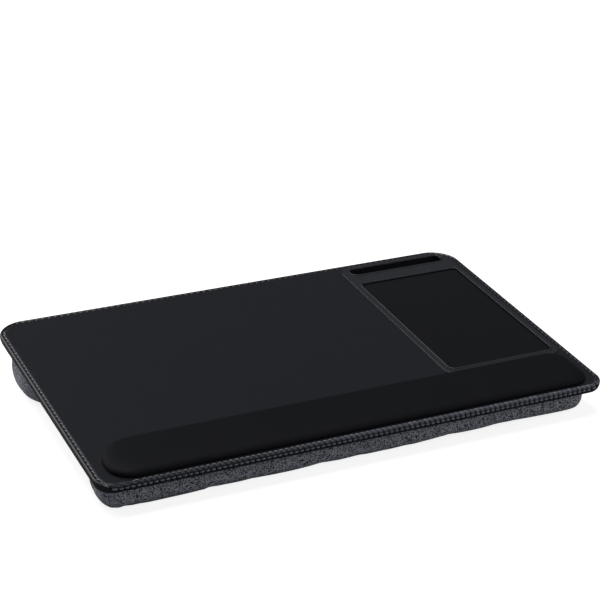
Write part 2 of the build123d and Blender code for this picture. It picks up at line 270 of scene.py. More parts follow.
def sewn_relief(off_row, front, count, x):
    """How far the sewn leather stands out of its smooth section: bead, groove, holes and puckers."""
    relief = bead_rise * (1 - front) * bell(off_row + bead_place, bead_width)
    relief -= groove_depth * (1 - 0.5 * front) * bell(off_row, groove_width)
    relief -= mix(side_hole, front_hole, front) * hole_share(off_row, count)
    gathered = front_pucker * mix(1, right_relief, smooth(*tight_zone, x))
    return relief + mix(side_pucker, gathered, front) * pucker_share(off_row, front, count, x)


def rounded_outline(left, right, front, back, radii, steps):
    """Points of a rounded rectangle, counter-clockwise from its front left corner.

    The radii are those of the front left, front right, back right and back left corner.
    """
    corners = ((left, front, 1, 1), (right, front, -1, 1), (right, back, -1, -1), (left, back, 1, -1))
    points = []
    for turn, ((x, y, to_x, to_y), radius) in enumerate(zip(corners, radii)):
        for step in range(steps + 1):
            angle = math.pi + (turn + step / steps) * math.pi / 2
            middle = Vector((x + to_x * radius, y + to_y * radius))
            points.append(middle + radius * Vector((math.cos(angle), math.sin(angle))))
    return points


def add_rings(shell, rings, capped=False):
    """Adds rings of points to a bmesh, the faces between each ring and the next, and caps if asked."""
    loops = [[shell.verts.new(point) for point in ring] for ring in rings]
    for below, above in zip(loops, loops[1:]):
        for i in range(len(below)):
            shell.faces.new((below[i - 1], below[i], above[i], above[i - 1]))
    if capped:
        shell.faces.new(loops[0])
        shell.faces.new(loops[-1])
    return loops


def loop_edges(shell, loop):
    """Edges round one closed loop of a bmesh's points."""
    edges = []
    for i in range(len(loop)):
        edge = shell.edges.get((loop[i - 1], loop[i]))
        edges.append(edge or shell.edges.new((loop[i - 1], loop[i])))
    return edges


def fill_face(shell, rim, opening):
    """Fills the flat face between a rim and the opening in it with triangles."""
    edges = loop_edges(shell, rim) + loop_edges(shell, opening)
    bmesh.ops.triangle_fill(shell, use_beauty=True, edges=edges)


def add_object(name, data):
    """Adds an object to the scene."""
    thing = bpy.data.objects.new(name, data)
    bpy.context.scene.collection.objects.link(thing)
    return thing


def finish_piece(name, shell, material):
    """Makes an object of a bmesh in tray places, with its faces outwards and smooth but for edges."""
    bmesh.ops.recalc_face_normals(shell, faces=shell.faces)
    bmesh.ops.transform(shell, matrix=tray, verts=shell.verts)
    mesh = bpy.data.meshes.new(name)
    shell.to_mesh(mesh)
    shell.free()
    mesh.shade_smooth()
    mesh.set_sharp_from_angle(angle=sharp_angle)
    piece = add_object(name, mesh)
    wear(piece, material)
    return piece


# Pebble-grained PU leather: a black coating embossed with small flat cells, with a low, soft shine
grain_cell, grain_depth = 1.3 * mm, 0.05 * mm
crease_pitch, crease_depth, crease_stretch = 2.5 * mm, 0.3 * mm, (0.5, 1, 1)
patch_size, pore_size = 14 * mm, 0.7 * mm
wall_dullness = 0.65


def pu_leather(name, dark, light, hole, ridge, shine):
    """Grained PU leather, drawn a little coarser than the real 0.8 mm grain, so that it shows."""
    material, tree, shader, place = start_material(name, Specular_IOR_Level=shine)
    cells = add_node(
        tree,
        "ShaderNodeTexVoronoi",
        {"Vector": place, "Scale": 1 / grain_cell, "Smoothness": 0.6},
        feature="SMOOTH_F1",
    )
    patches = add_node(tree, "ShaderNodeTexNoise", {"Vector": place, "Scale": 1 / patch_size, "Detail": 4.0})
    pores = add_node(tree, "ShaderNodeTexNoise", {"Vector": place, "Scale": 1 / pore_size, "Detail": 2.0})
    # The attributes paint light into the colour: a highlight on the pucker ridges and shade in the thread
    # holes
    shares = [patches.outputs["Fac"]]
    for attribute in ("ridge_painted_highlight", "hole_painted_shade"):
        shares.append(add_node(tree, "ShaderNodeAttribute", {}, attribute_name=attribute).outputs["Fac"])
    colour = linear(dark)
    for share, shade in zip(shares, (light, ridge, hole)):
        mixed = {"Factor": share, 6: colour, 7: linear(shade)}
        colour = add_node(tree, "ShaderNodeMix", mixed, data_type="RGBA").outputs[2]
    tree.links.new(colour, shader.inputs["Base Color"])
    dulling = add_node(
        tree, "ShaderNodeMapRange", {"Value": pores.outputs["Fac"], "To Min": 0.27, "To Max": 0.37}
    )
    wall = add_node(tree, "ShaderNodeAttribute", {}, attribute_name="wall").outputs["Fac"]
    dull = add_node(
        tree,
        "ShaderNodeMath",
        {0: wall, 1: wall_dullness, 2: dulling.outputs["Result"]},
        operation="MULTIPLY_ADD",
    )
    tree.links.new(dull.outputs[0], shader.inputs["Roughness"])
    drawn_out = add_node(tree, "ShaderNodeMapping", {"Vector": place, "Scale": crease_stretch}).outputs[0]
    creases = add_node(
        tree, "ShaderNodeTexNoise", {"Vector": drawn_out, "Scale": 1 / crease_pitch, "Detail": 3.0}
    )
    normal = add_node(
        tree, "ShaderNodeBump", {"Height": creases.outputs["Fac"], "Distance": crease_depth, "Strength": 1.0}
    ).outputs["Normal"]
    grain = {"Height": cells.outputs["Distance"], "Distance": grain_depth, "Strength": 0.7, "Normal": normal}
    tree.links.new(add_node(tree, "ShaderNodeBump", grain).outputs["Normal"], shader.inputs["Normal"])
    return material


window_overlap = 3 * mm
corner_steps = 12
frame_low, frame_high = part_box("device_frame")
frame_front, frame_back = -108.5 * mm, 181.5 * mm
frame_corner_radii = (10 * mm, 10 * mm, 29 * mm, 18 * mm)
stations = edge_stations()
outer_rings = [[] for _ in leather_section(0)]
inner_rings = [[] for _ in range(5)]
shade_rings = {name: [[] for _ in outer_rings] for name in ("hole_painted_shade", "ridge_painted_highlight", "wall")}
for point, inward, front, count in stations:
    row = mix(side_row, front_row, front)
    section = leather_section(front)
    for i, (inset, level, face_in, face_up, reach) in enumerate(section):
        off_row = reach - row
        stand = sewn_relief(off_row, front, count, point.x) * smooth(0, hem_ease, reach)
        outer_rings[i].append((*(point + inward * (inset + face_in * stand)), level + face_up * stand))
        shade_rings["hole_painted_shade"][i].append(hole_share(off_row, count))
        shade_rings["ridge_painted_highlight"][i].append(ridge_highlight(off_row, front, count, point.x))
        shade_rings["wall"][i].append(max(0, -face_in) ** 3)
    strip_end, roll_end = section[-1][0], mix(side_roll[0], front_roll[0], front)
    insets = strip_end, roll_end + leather, roll_end, hem
    under = [(inset, leather_level(inset, front) - leather) for inset in insets]
    for ring, (inset, level) in zip(inner_rings, under + [(hem, seam_level)]):
        ring.append((*(point + inward * inset), level))

window = rounded_outline(
    frame_low.x + window_overlap,
    frame_high.x - window_overlap,
    frame_front + window_overlap,
    frame_back - window_overlap,
    [radius - window_overlap for radius in frame_corner_radii],
    corner_steps,
)
shell = bmesh.new()
outer_loops = add_rings(shell, outer_rings)
inner_loops = add_rings(shell, inner_rings)
window_levels = deck_level, deck_level - leather
window_loops = add_rings(shell, [[(*point, level) for point in window] for level in window_levels])
inner_hem, outer_hem = inner_loops[-1], outer_loops[0]
for i in range(len(stations)):
    shell.faces.new((inner_hem[i - 1], inner_hem[i], outer_hem[i], outer_hem[i - 1]))
fill_face(shell, outer_loops[-1], window_loops[0])
fill_face(shell, inner_loops[0], window_loops[1])
# The last two colours are painted light: shade in the thread holes, then a highlight on the pucker ridges
leather_look = pu_leather("pebble_grained_pu_leather", "#08090d", "#0d0e13", "#020203", "#5a5d66", 0.42)
deck_leather = finish_piece("deck_leather", shell, leather_look)

# The thread holes get painted shade, the pucker ridges a painted highlight, and the wall that no hand
# rubs is duller
for name, rings in shade_rings.items():
    shades = deck_leather.data.attributes.new(name, "FLOAT", "POINT")
    for i, shade in enumerate(shade for ring in rings for shade in ring):
        shades.data[i].value = shade
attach(deck_leather, "root")
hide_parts("top_cover")


# Stitches: bonded polyester thread sewn through the leather, one float between each two holes. Each
# float is a short arc of thread that dives into a hole at both ends. At the right and the back, where
# the edge doesn't face left, the thread is drawn tight, so it sinks into its groove.
thread_radius = 1.05 * mm
float_share = 0.56
float_rise, float_dive, float_sinking = 1.3 * mm, 0.9 * mm, 1.5 * mm
float_lean = math.radians(19)
lint_size = 1.5 * mm
left_facing = (0.75, 0.98)

# Bonded polyester thread: charcoal grey, smooth and shinier than the leather
thread, tree, shader, place = start_material(
    "bonded_polyester_thread", Roughness=0.3, Specular_IOR_Level=0.7
)
mottle(tree, shader, place, lint_size, 2.0, "#4c4e55", "#66686f")

floats = bpy.data.meshes.new("stitch_places")
turn_in = Matrix.Rotation(float_lean, 2)
places, headings, facings, lengths = [], [], [], []
for i in range(steps_per_stitch // 2, len(stations), steps_per_stitch):
    point, inward, front, count = stations[i]
    row = mix(side_row, front_row, front)
    section = leather_section(front)
    k = next(k for k, spot in enumerate(section) if spot[-1] >= row)
    share = (row - section[k - 1][-1]) / (section[k][-1] - section[k - 1][-1])
    inset, level, face_in, face_up = (mix(a, b, share) for a, b in zip(section[k - 1][:4], section[k][:4]))
    tightness = (1 - front) * (1 - smooth(*left_facing, inward.x))
    stand = sewn_relief(0, front, count, point.x) - float_sinking * tightness
    along = Vector((inward.y, -inward.x))
    ahead = stations[(i + steps_per_stitch // 2) % len(stations)][0]
    behind = stations[i - steps_per_stitch // 2][0]
    places.append(tray @ Vector((*(point + inward * (inset + face_in * stand)), level + face_up * stand)))
    headings.append(tray.to_3x3() @ Vector((*(turn_in @ along if front < 0.5 else along), 0)))
    facings.append(tray.to_3x3() @ Vector((*(inward * face_in), face_up)))
    lengths.append((ahead - behind).length * float_share)
floats.from_pydata(places, [], [])
for name, directions in (("heading", headings), ("facing", facings)):
    floats.attributes.new(name, "FLOAT_VECTOR", "POINT").data.foreach_set(
        "vector", [value for direction in directions for value in direction]
    )
floats.attributes.new("length", "FLOAT", "POINT").data.foreach_set("value", lengths)
stitch_source = add_object("stitch_places", floats)


def start_group(name, sizes):
    """New Geometry Nodes tree, with a geometry and named sizes as its inputs."""
    group = bpy.data.node_groups.new(name, "GeometryNodeTree")
    group.interface.new_socket("Geometry", in_out="INPUT", socket_type="NodeSocketGeometry")
    for size in sizes:
        group.interface.new_socket(size, in_out="INPUT", socket_type="NodeSocketFloat")
    group.interface.new_socket("Geometry", in_out="OUTPUT", socket_type="NodeSocketGeometry")
    return group, add_node(group, "NodeGroupInput", {}).outputs


def made_mesh(thing):
    """Plain mesh of an object as its modifiers leave it."""
    return bpy.data.meshes.new_from_object(thing.evaluated_get(bpy.context.evaluated_depsgraph_get()))


def apply_nodes(source, group, sizes, name):
    """Runs a Geometry Nodes tree on an object and keeps what it makes as a plain, smooth mesh."""
    modifier = source.modifiers.new("nodes", "NODES")
    modifier.node_group = group
    for size, value in sizes.items():
        modifier[group.interface.items_tree[size].identifier] = value
    bpy.context.view_layer.update()
    mesh = made_mesh(source)
    mesh.name = name
    mesh.shade_smooth()
    bpy.data.objects.remove(source)
    return add_object(name, mesh)


sizes = {"Thread radius": thread_radius, "Rise": float_rise, "Dive": float_dive}
group, given = start_group("thread_floats", sizes)
down = add_node(group, "ShaderNodeMath", {0: given["Dive"], 1: -1.0}, operation="MULTIPLY").outputs[0]
heads = [
    add_node(group, "ShaderNodeCombineXYZ", {"X": x, "Z": z}).outputs[0]
    for x, z in ((-0.5, down), (0.0, given["Rise"]), (0.5, down))
]
spans = {"Resolution": 8, "Start": heads[0], "Middle": heads[1], "End": heads[2]}
arc = add_node(group, "GeometryNodeCurveQuadraticBezier", spans)
section = add_node(
    group, "GeometryNodeCurvePrimitiveCircle", {"Resolution": 8, "Radius": given["Thread radius"]}
)
sites = add_node(group, "GeometryNodeMeshToPoints", {"Mesh": given["Geometry"]})
heading, facing, length = (
    add_node(group, "GeometryNodeInputNamedAttribute", {"Name": name}, data_type=kind)
    for name, kind in (("heading", "FLOAT_VECTOR"), ("facing", "FLOAT_VECTOR"), ("length", "FLOAT"))
)
upright = add_node(group, "FunctionNodeAlignRotationToVector", {"Vector": facing.outputs[0]}, axis="Z")
turned = add_node(
    group,
    "FunctionNodeAlignRotationToVector",
    {"Rotation": upright.outputs[0], "Vector": heading.outputs[0]},
    axis="X",
    pivot_axis="Z",
)
stretch = add_node(group, "ShaderNodeCombineXYZ", {"X": length.outputs[0], "Y": 1.0, "Z": 1.0})
placed = add_node(
    group,
    "GeometryNodeInstanceOnPoints",
    {
        "Points": sites.outputs[0],
        "Instance": arc.outputs[0],
        "Rotation": turned.outputs[0],
        "Scale": stretch.outputs[0],
    },
)
curves = add_node(group, "GeometryNodeRealizeInstances", {"Geometry": placed.outputs[0]})
tubes = add_node(
    group,
    "GeometryNodeCurveToMesh",
    {"Curve": curves.outputs[0], "Profile Curve": section.outputs[0], "Fill Caps": True},
)
dressed = add_node(group, "GeometryNodeSetMaterial", {"Geometry": tubes.outputs[0], "Material": thread})
add_node(group, "NodeGroupOutput", {"Geometry": dressed.outputs[0]})
deck_stitches = apply_nodes(stitch_source, group, sizes, "deck_stitches")
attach(deck_stitches, "root")


# Foam underlay: a thin sheet of polyurethane foam under the leather. It gives the deck its soft touch
# and the rolled edge its round shape.
foam_inset, foam_clearance = 2.2 * mm, 0.15 * mm
foam_pore = 1.2 * mm

# Open-cell polyurethane foam: off-white, full of small pores and quite dull
foam, tree, shader, place = start_material("open_cell_foam", Roughness=0.95)
pores = add_node(tree, "ShaderNodeTexVoronoi", {"Vector": place, "Scale": 1 / foam_pore})
tones = {"Factor": pores.outputs["Distance"], 6: linear("#b9b6a8"), 7: linear("#dedbcf")}
tone = add_node(tree, "ShaderNodeMix", tones, data_type="RGBA")
tree.links.new(tone.outputs[2], shader.inputs["Base Color"])

foam_rings = [[] for _ in range(3)]
foam_top_level = deck_level - leather - foam_clearance
for point, inward, front, count in stations[::steps_per_stitch]:
    edge_top = leather_level(foam_inset, front) - leather - foam_clearance
    spots = (foam_inset, core_top), (foam_inset, edge_top), (2 * hem, foam_top_level)
    for ring, (inset, level) in zip(foam_rings, spots):
        ring.append((*(point + inward * inset), level))
shell = bmesh.new()
foam_loops = add_rings(shell, foam_rings)
window_levels = foam_top_level, core_top
window_loops = add_rings(shell, [[(*point, level) for point in window] for level in window_levels])
fill_face(shell, foam_loops[-1], window_loops[0])
fill_face(shell, foam_loops[0], window_loops[1])
foam_layer = finish_piece("foam_layer", shell, foam)
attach(foam_layer, "root")
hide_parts("foam_underlay")


# Underside leather: the same PU leather under the board, in a copy that is a little darker, as painted
# shade on the rim turned under, and much less shiny. Its rim is turned up inside the line of the hem
# above, so a fine gap runs round the edge between the two.
lip_step, lip_top = 1.5 * mm, -2.15 * mm
core_bottom, base_level = -4.35 * mm, -5.35 * mm
base_roll = 2.4 * mm
lip_turns = [i * math.pi / 16 for i in range(9)]
rim_sway, sway_pitch = 0.12 * mm, 9 * mm
outline = [(point, inward) for point, inward, front, count in stations[::2]]


def board_ring(inset, level, sway=0):
    """Ring round the board at an inset and a level, with a slight sway in the cloth."""
    ring = []
    for point, inward in outline:
        drift = sway * noise.noise((*(point / sway_pitch), level / mm))
        ring.append((*(point + inward * (inset + drift)), level))
    return ring


under_rings = [
    board_ring(lip_step + leather, core_bottom),
    board_ring(lip_step + leather, lip_top),
    board_ring(lip_step, lip_top),
]
for turn in lip_turns:
    inset = lip_step + base_roll * (1 - math.cos(turn))
    level = base_level + base_roll * (1 - math.sin(turn))
    under_rings.append(board_ring(inset, level, rim_sway))
shell = bmesh.new()
add_rings(shell, under_rings, capped=True)
# Its colours are a shade darker than the deck's: painted shade for the rim turned under
underside_shaded_look = pu_leather(
    "pebble_grained_pu_leather_underside", "#07080b", "#0b0c10", "#020203", "#0b0c10", 0.1
)
underside_leather = finish_piece("underside_leather", shell, underside_shaded_look)
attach(underside_leather, "root")
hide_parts("bottom_cover")


# Moulded insert: black ABS, injection moulded with a fine spark-eroded texture. It is the CAD piece.
# Screws from below hold it on the board.
spark_grain, spark_depth, cloud_size = 0.8 * mm, 0.05 * mm, 25 * mm
abs_plastic, tree, shader, place = start_material(
    "spark_textured_abs", Roughness=0.4, Specular_IOR_Level=0.45
)
sparks = add_node(tree, "ShaderNodeTexNoise", {"Vector": place, "Scale": 1 / spark_grain, "Detail": 3.0})
mottle(tree, shader, place, cloud_size, 2.0, "#131418", "#191a1f")
relief = add_node(
    tree, "ShaderNodeBump", {"Height": sparks.outputs["Fac"], "Distance": spark_depth, "Strength": 0.6}
)
tree.links.new(relief.outputs["Normal"], shader.inputs["Normal"])
wear(frame["nodes"]["device_frame"], abs_plastic)

# A rounded bead runs round the recess of the mouse pad and another one round the mouth of the slot: thin
# moulded lines that catch the light
rim_level = 6.75 * mm
side_rail, front_rail = 8 * mm, 9 * mm
pad_width, pad_depth, pad_radius = 133 * mm, 231 * mm, 6 * mm
pad_left, pad_front = frame_high.x - side_rail - pad_width, frame_front + front_rail
pad_box = pad_left, pad_left + pad_width, pad_front, pad_front + pad_depth
slot_box = 152 * mm, 280 * mm, 156 * mm, 173.5 * mm
mouth_radius, mouth_steps = 9.55 * mm, 16
bead_radius = 0.95 * mm
pad_offset, mouth_offset = 1.5 * mm, 0.9 * mm
spots, joins = [], []
for (left, right, low, high), offset, radius, steps in (
    (pad_box, pad_offset, pad_radius + pad_offset, corner_steps),
    (slot_box, mouth_offset, mouth_radius, mouth_steps),
):
    path = rounded_outline(left - offset, right + offset, low - offset, high + offset, [radius] * 4, steps)
    first = len(spots)
    spots += [tray @ Vector((*point, rim_level)) for point in path]
    joins += [(first + i, first + (i + 1) % len(path)) for i in range(len(path))]
bead_lines = bpy.data.meshes.new("bead_lines")
bead_lines.from_pydata(spots, joins, [])

sizes = {"Bead radius": bead_radius}
group, given = start_group("moulded_beads", sizes)
line = add_node(group, "GeometryNodeMeshToCurve", {"Mesh": given["Geometry"]})
section = add_node(
    group, "GeometryNodeCurvePrimitiveCircle", {"Resolution": 12, "Radius": given["Bead radius"]}
)
beads = add_node(
    group, "GeometryNodeCurveToMesh", {"Curve": line.outputs[0], "Profile Curve": section.outputs[0]}
)
beads = add_node(group, "GeometryNodeRealizeInstances", {"Geometry": beads.outputs[0]})
beads = add_node(group, "GeometryNodeSetMaterial", {"Geometry": beads.outputs[0], "Material": abs_plastic})
add_node(group, "NodeGroupOutput", {"Geometry": beads.outputs[0]})
frame_beads = apply_nodes(add_object("bead_lines", bead_lines), group, sizes, "frame_beads")
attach(frame_beads, "root")

# Zinc-plated steel of the screws and staples: bright, with a slightly streaked plating
streak_size = 2 * mm
plated_steel, tree, shader, place = start_material("zinc_plated_steel", Metallic=1.0)
streaks = mottle(tree, shader, place, streak_size, 3.0, "#9a9a98", "#b8b8b6")
dulling = add_node(tree, "ShaderNodeMapRange", {"Value": streaks, "To Min": 0.3, "To Max": 0.5})
tree.links.new(dulling.outputs["Result"], shader.inputs["Roughness"])
for name in ("frame_screws", "backing_staples"):
    wear(frame["nodes"][name], plated_steel)


# Mouse pad: fine knit polyester bonded on a sheet of rubber and die-cut, laid loose in the recess.
# The cut edge of the cloth is pressed down a little.
recess_level = 3.85 * mm
pad_base, pad_cloth, pad_gap = 1 * mm, 0.4 * mm, 0.3 * mm
pressed_edge = ((0, -0.2 * mm), (0.15 * mm, -0.06 * mm), (0.6 * mm, 0))


def sheet_ring(inset, level):
    """Ring of the mouse pad's outline, drawn in by an inset."""
    gap = pad_gap + inset
    left, right, low, high = pad_box
    path = rounded_outline(left + gap, right - gap, low + gap, high - gap, [pad_radius - gap] * 4, 10)
    return [(*point, level) for point in path]


# Knit polyester over rubber: very dark, with fine loops in rows, a faint pile and no shine. A wave of
# scale 1 repeats every 0.314 m.
wave_pitch = 0.314
loop_pitch, loop_depth = 1.1 * mm, 0.08 * mm
knit, tree, shader, place = start_material(
    "knit_polyester", Roughness=0.9, Specular_IOR_Level=0.1, Sheen_Weight=0.02, Sheen_Roughness=0.5
)
waves = {"Vector": place, "Scale": wave_pitch / loop_pitch, "Distortion": 0.6, "Detail": 1.0}
rows, columns = (
    add_node(tree, "ShaderNodeTexWave", waves, bands_direction=axis).outputs["Fac"] for axis in "XY"
)
loops = add_node(tree, "ShaderNodeMath", {0: rows, 1: columns}, operation="MULTIPLY")
tones = {"Factor": loops.outputs[0], 6: linear("#0a0b0e"), 7: linear("#14151a")}
tone = add_node(tree, "ShaderNodeMix", tones, data_type="RGBA")
tree.links.new(tone.outputs[2], shader.inputs["Base Color"])
relief = add_node(
    tree, "ShaderNodeBump", {"Height": loops.outputs[0], "Distance": loop_depth, "Strength": 0.5}
)
tree.links.new(relief.outputs["Normal"], shader.inputs["Normal"])

# Rubber sheet: flat black, with the print of a fine fabric and a dry surface
print_size = 1.5 * mm
rubber, tree, shader, place = start_material("foamed_rubber_sheet", Roughness=0.8)
mottle(tree, shader, place, print_size, 2.0, "#0c0c0d", "#141416")

cloth_bottom = recess_level + pad_base
cloth_top = cloth_bottom + pad_cloth
pad_rings = [sheet_ring(0, cloth_bottom)]
pad_rings += [sheet_ring(inset, cloth_top + drop) for inset, drop in pressed_edge]
shell = bmesh.new()
add_rings(shell, pad_rings, capped=True)
pad_top = finish_piece("mouse_pad_top", shell, knit)
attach(pad_top, "root")
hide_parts("mouse_pad_cloth")

shell = bmesh.new()
add_rings(shell, [sheet_ring(0, recess_level), sheet_ring(0, cloth_bottom)], capped=True)
pad_rubber = finish_piece("mouse_pad_rubber", shell, rubber)
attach(pad_rubber, "root")
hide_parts("mouse_pad_base")


# Wrist rest: a long foam pad under a smooth, matt stretch cover, glued on the deck. Its edge rolls
# down all round, its top is nearly flat, and the cover is drawn in a little where it is tucked under.
rest_box = -283 * mm, 286 * mm, -182.5 * mm, -109.5 * mm
rest_height = 9 * mm
rest_radii = (27 * mm, 22 * mm, 22 * mm, 41 * mm)
rest_turns = (0, 4, 9, 15, 22, 30, 38, 46, 54, 61, 67, 72, 76, 79, 81.5, 83.5, 85.5, 87)
rest_spread, rest_rise = 0.55, 0.75
rest_spacing = 3 * mm
pillow_corner_steps = 9


def divided(outline, base, spacing):
    """An outline with its runs divided, in as many parts as the base outline's runs need."""
    even = []
    for i in range(len(base)):
        parts = max(1, round((base[i] - base[i - 1]).length / spacing))
        even += [outline[i - 1].lerp(outline[i], part / parts) for part in range(parts)]
    return even


def drawn_in(box, radii, inset):
    """Outline of a box, drawn in, with radii that shrink with its depth."""
    left, right, front, back = box
    share = (back - front - 2 * inset) / (back - front)
    inner = (left + inset, right - inset, front + inset, back - inset)
    return rounded_outline(*inner, [radius * share for radius in radii], pillow_corner_steps)


def ripple(spot, height, width, depth, level):
    """Low waves of a given height, width and depth; each level of the noise gives others."""
    return height * noise.noise((spot.x / width, spot.y / depth, level))


half_rest = (rest_box[3] - rest_box[2]) / 2
rest_rings = []
base_outline = drawn_in(rest_box, rest_radii, 0)
for turn in rest_turns:
    angle = math.radians(turn)
    inset = half_rest * (1 - math.cos(angle) ** rest_spread)
    level = deck_level + rest_height * math.sin(angle) ** rest_rise
    ring = []
    for spot in divided(drawn_in(rest_box, rest_radii, inset), base_outline, rest_spacing):
        swell = ripple(spot, 0.35 * mm, 60 * mm, 25 * mm, 1.7) * math.sin(angle)
        tuck = ripple(spot, 0.25 * mm, 7 * mm, 7 * mm, 4.2) * math.cos(angle) ** 2
        ring.append((spot.x, spot.y, level + swell + tuck * math.sin(2 * angle)))
    rest_rings.append(ring)
shell = bmesh.new()
add_rings(shell, rest_rings, capped=True)

# Smooth stretch cover: black, matt, with a faint fine pore and a soft dull sheen
cover_pore, cover_pore_depth, cover_patch = 0.9 * mm, 0.03 * mm, 30 * mm
stretch_cover, tree, shader, place = start_material("smooth_stretch_cover", Specular_IOR_Level=0.08)
pores = add_node(tree, "ShaderNodeTexNoise", {"Vector": place, "Scale": 1 / cover_pore, "Detail": 3.0})
patches = mottle(tree, shader, place, cover_patch, 3.0, "#090a0d", "#0d0e11")
dulling = add_node(tree, "ShaderNodeMapRange", {"Value": patches, "To Min": 0.55, "To Max": 0.68})
tree.links.new(dulling.outputs["Result"], shader.inputs["Roughness"])
relief = add_node(
    tree, "ShaderNodeBump", {"Height": pores.outputs["Fac"], "Distance": cover_pore_depth, "Strength": 0.6}
)
tree.links.new(relief.outputs["Normal"], shader.inputs["Normal"])
wrist_rest = finish_piece("wrist_rest", shell, stretch_cover)
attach(wrist_rest, "root")
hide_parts("wrist_rest_cover", "wrist_rest_foam")


# Cushion backing: the panel of heather fabric that both cushions are sewn to. It is pulled flat and
# stapled under the board.
backing_inset, backing_level = 12.3 * mm, -6.85 * mm
backing_bulge = 0.2 * mm

# Heather polyester: dark and light yarns mixed in spinning, so a plain weave looks like salt and
# pepper. The specks are drawn at 1 to 1.5 mm, about twice the real yarn, so that they show.
yarn, yarn_depth = 1.15 * mm, 0.3 * mm
clump_size, clump_share = 5 * yarn, 0.12
heather, tree, shader, place = start_material(
    "heather_polyester", Roughness=0.95, Specular_IOR_Level=0.15, Sheen_Weight=0.1, Sheen_Roughness=0.6
)
strands = []
for stretch in ((0.45, 1, 1.5), (1.5, 1, 0.45)):
    drawn_out = add_node(tree, "ShaderNodeMapping", {"Vector": place, "Scale": stretch}).outputs[0]
    strand = add_node(tree, "ShaderNodeTexNoise", {"Vector": drawn_out, "Scale": 1 / yarn, "Detail": 1.0})
    strands.append(strand.outputs["Fac"])
crossing = add_node(tree, "ShaderNodeMath", {0: strands[0], 1: strands[1]}, operation="ADD").outputs[0]
clumps = add_node(tree, "ShaderNodeTexNoise", {"Vector": place, "Scale": 1 / clump_size, "Detail": 2.0})
blended = add_node(
    tree, "ShaderNodeMath", {0: clumps.outputs["Fac"], 1: clump_share, 2: crossing}, operation="MULTIPLY_ADD"
)
level = add_node(
    tree, "ShaderNodeMapRange", {"Value": blended.outputs[0], "From Min": 0.92, "From Max": 1.18}
)
ramp = add_node(tree, "ShaderNodeValToRGB", {"Fac": level.outputs["Result"]})
ramp.color_ramp.elements[0].color = linear("#27292e")
ramp.color_ramp.elements[1].color = linear("#b4b8bf")
tree.links.new(ramp.outputs["Color"], shader.inputs["Base Color"])
relief = add_node(tree, "ShaderNodeBump", {"Height": crossing, "Distance": yarn_depth, "Strength": 0.5})
tree.links.new(relief.outputs["Normal"], shader.inputs["Normal"])

backing_rings = [
    board_ring(backing_inset, base_level),
    board_ring(backing_inset - backing_bulge, (base_level + backing_level) / 2),
    board_ring(backing_inset, backing_level),
]
shell = bmesh.new()
add_rings(shell, backing_rings, capped=True)
backing_panel = finish_piece("backing_panel", shell, heather)
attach(backing_panel, "root")
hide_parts("cushion_backing")


# Cushions: bags of heather fabric filled with polystyrene beads and fibre, a high one at the rear and
# a low one at the front. Each bag is a little larger than its filling, so it wrinkles, and it is flat
# where it rests and where it is sewn to the backing.
section_turns = (-78, -66, -52, -36, -18, 0, 18, 36, 52, 66, 78)
cushion_spacing, cushion_step = 12 * mm, 5 * mm
sewn_band = 2 * mm
fill_pressure, bag_shrink, fill_frames = 4, -0.05, 20
tray_inverse = tray.inverted()


def cushion_start(name, box, radius, draw, slack):
    """Bag before it is filled: sections that turn from the tilted backing to the level floor.

    Its right end is filled less, by the slack, and stays that far off the floor.
    """
    radii = [radius] * 4
    last = math.sin(math.radians(section_turns[-1]))
    rings = []
    for turn in section_turns:
        down = (1 + math.sin(math.radians(turn)) / last) / 2
        inset = draw * (1 - math.cos(math.radians(turn)))
        ring = []
        for point in divided(drawn_in(box, radii, inset), drawn_in(box, radii, 0), cushion_spacing):
            top = tray @ Vector((point.x, point.y, backing_level))
            floor_spot = Vector((point.x, point.y, slack * smooth(0, box[1], point.x)))
            ring.append(top.lerp(floor_spot, down))
        rings.append([tray_inverse @ spot for spot in ring])
    shell = bmesh.new()
    add_rings(shell, rings, capped=True)
    return finish_piece(name, shell, heather)


def keep_shape(bag):
    """Gives a bag the mesh that its modifiers make, and clears them."""
    mesh = made_mesh(bag)
    bag.modifiers.clear()
    bag.data = mesh
    return mesh


def fill_bag(bag, cap):
    """Remeshes the bag evenly, fills it by a cloth simulation and holds it between board and floor."""
    remesh = bag.modifiers.new("remesh", "REMESH")
    remesh.mode = "VOXEL"
    remesh.voxel_size = cushion_step
    bag_mesh = keep_shape(bag)
    starts = [vertex.co.copy() for vertex in bag_mesh.vertices]
    sewn = bag.vertex_groups.new(name="sewn")
    for vertex in bag_mesh.vertices:
        if (tray_inverse @ vertex.co).z > backing_level - sewn_band:
            sewn.add([vertex.index], 1, "REPLACE")
    cloth = bag.modifiers.new("cloth", "CLOTH")
    cloth.settings.use_pressure = True
    cloth.settings.uniform_pressure_force = fill_pressure
    cloth.settings.effector_weights.gravity = 0
    cloth.settings.vertex_group_mass = "sewn"
    cloth.settings.shrink_min = bag_shrink
    cloth.settings.quality = 5
    cloth.point_cache.frame_end = fill_frames
    for number in range(fill_frames):
        bpy.context.scene.frame_set(number + 1)
    bag_mesh = keep_shape(bag)
    bpy.context.scene.frame_set(1)
    for vertex, start in zip(bag_mesh.vertices, starts):
        moved = vertex.co - start
        if moved.length > cap:
            vertex.co = start + moved * (cap / moved.length)
    subdivision = bag.modifiers.new("subdivision", "SUBSURF")
    subdivision.levels = subdivision.render_levels = 1
    bag_mesh = keep_shape(bag)
    for vertex in bag_mesh.vertices:
        vertex.co.z = max(vertex.co.z, 0)
        on_tray = tray_inverse @ vertex.co
        on_tray.z = min(on_tray.z, backing_level)
        vertex.co = tray @ on_tray
    bag_mesh.shade_smooth()
    wear(bag, heather)


